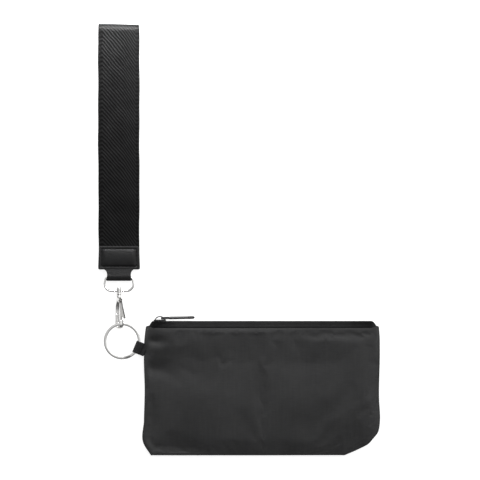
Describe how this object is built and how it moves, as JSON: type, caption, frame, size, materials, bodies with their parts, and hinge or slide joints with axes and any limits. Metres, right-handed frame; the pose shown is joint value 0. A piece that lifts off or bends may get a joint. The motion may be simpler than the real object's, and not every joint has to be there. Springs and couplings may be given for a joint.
{
  "type": "zippered pouch",
  "caption": "Flat zippered wristlet pouch with a side loop and split ring, joined by a swivel snap hook to a detachable webbing wrist strap.",
  "frame": {"origin": "on the back panel's flat outer face, at the middle of the pouch's width; the part lies on its back on Z = 0", "axes": "+X from the slider's closed end to the far end of the zip, +Y from the pouch's bottom edge to its zip and on along the strap, +Z out of the front panel"},
  "size_m": [0.2244, 0.3443, 0.0135],
  "materials": {
    "shell_fabric": "black satin nylon, softly wrinkled",
    "lining_fabric": "thin black polyester lining",
    "zip_tape": "woven black zip tape",
    "coil_nylon": "black nylon coil",
    "black_metal": "black lacquered die-cast zinc",
    "nickel": "polished nickel plate",
    "spring_steel": "plain spring steel",
    "webbing": "black twill webbing",
    "loop_tape": "black grosgrain tape"
  },
  "bodies": {
    "pouch": {"back_panel": "shell_fabric", "back_lining": "lining_fabric", "back_zip_tape": "zip_tape", "back_coil": "coil_nylon", "back_top_stop": "black_metal", "bottom_stop": "black_metal"},
    "front": {"front_panel": "shell_fabric", "front_lining": "lining_fabric", "front_zip_tape": "zip_tape", "front_coil": "coil_nylon", "front_top_stop": "black_metal"},
    "slider": {"slider_body": "black_metal", "slider_crown": "black_metal"},
    "pull": {"pull_tab": "black_metal"},
    "loop": {"side_loop": "loop_tape"},
    "ring": {"split_ring": "nickel"},
    "hook": {"hook_body": "nickel", "gate_pin": "nickel", "gate_spring": "spring_steel", "swivel_post": "nickel"},
    "gate": {"gate": "nickel"},
    "bail": {"bail": "nickel"},
    "strap": {"strap_webbing": "webbing", "strap_tab": "shell_fabric"}
  },
  "joints": [
    {"name": "zip_slide", "type": "slide", "parent": "pouch", "child": "slider", "axis": [1, 0, 0], "range_m": [0, 0.158]},
    {"name": "mouth_open", "type": "hinge", "parent": "pouch", "child": "front", "pos_m": [0, -0.0537, 0.00425], "axis": [1, 0, 0], "range_deg": [0, 12]},
    {"name": "pull_flip", "type": "hinge", "parent": "slider", "child": "pull", "pos_m": [-0.0799, 0.05575, 0.0062], "axis": [0, 0, 1], "range_deg": [-3, 167]},
    {"name": "loop_flap", "type": "hinge", "parent": "pouch", "child": "loop", "pos_m": [-0.0949, 0.0306, 0.00475], "axis": [0, 1, 0], "range_deg": [0, 60]},
    {"name": "ring_turn", "type": "hinge", "parent": "loop", "child": "ring", "pos_m": [-0.1114, 0.0375, 0.00475], "axis": [0, 0, 1], "range_deg": [-40, 110]},
    {"name": "hook_swing", "type": "hinge", "parent": "ring", "child": "hook", "pos_m": [-0.1138, 0.05078, 0.00475], "axis": [0.9841, 0.1778, 0], "range_deg": [0, 90]},
    {"name": "gate_press", "type": "hinge", "parent": "hook", "child": "gate", "pos_m": [-0.11275, 0.0692, 0.00596], "axis": [0.866, 0, -0.5], "range_deg": [0, 12], "stiffness_Nm_per_rad": 0.008, "springref_deg": -14.32},
    {"name": "swivel", "type": "hinge", "parent": "hook", "child": "bail", "pos_m": [-0.114, 0.0772, 0.0038], "axis": [0, 1, 0], "continuous": true},
    {"name": "strap_fold", "type": "hinge", "parent": "bail", "child": "strap", "pos_m": [-0.114, 0.0876, 0.0038], "axis": [1, 0, 0], "range_deg": [0, 135]}
  ],
  "couplings": [
    {"joint": "mouth_open", "follows": "zip_slide", "rad_per_m": 1.3145}
  ]
}
